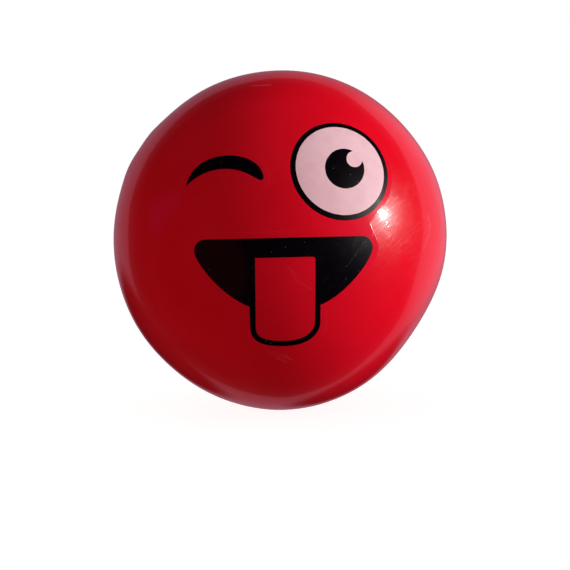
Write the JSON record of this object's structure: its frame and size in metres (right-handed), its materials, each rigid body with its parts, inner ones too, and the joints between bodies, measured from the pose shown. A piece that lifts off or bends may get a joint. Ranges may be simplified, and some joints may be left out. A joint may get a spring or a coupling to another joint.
{
  "type": "stress ball",
  "caption": "Air-filled glossy vinyl stress ball with a printed winking face that sticks its tongue out, and a needle valve in its back.",
  "frame": {"origin": "centre of the ball", "axes": "-Y out of the printed face, +Y out of the valve, +Z towards the top of the face, +X towards the open eye"},
  "size_m": [0.125, 0.1249, 0.125],
  "materials": {
    "skin_vinyl": "glossy soft vinyl, with hairline scratches",
    "seat_vinyl": "satin moulded vinyl",
    "plug_rubber": "satin, off-white",
    "clear_film": "clear gloss film, which takes the colour of the red skin under it",
    "white_ink": "gloss, white tinted pink by the red under it",
    "black_ink": "gloss, with fine scratches"
  },
  "bodies": {
    "front": {"skin_front": "skin_vinyl", "face_film": "clear_film", "wink_film": "clear_film", "eye_white": "white_ink", "eye_ring": "black_ink", "pupil": "black_ink", "wink_print": "black_ink", "mouth_print": "black_ink"},
    "rear": {"skin_rear": "skin_vinyl", "valve_seat": "seat_vinyl"},
    "plug": {"valve_plug": "plug_rubber"}
  },
  "joints": [
    {"name": "squeeze", "type": "slide", "parent": "front", "child": "rear", "axis": [0, -1, 0], "range_m": [0, 0.025], "stiffness_N_per_m": 2400, "deforming": ["skin_front", "skin_rear"]},
    {"name": "plug_pull", "type": "slide", "parent": "rear", "child": "plug", "axis": [0, 1, 0], "range_m": [0, 0.01]}
  ]
}
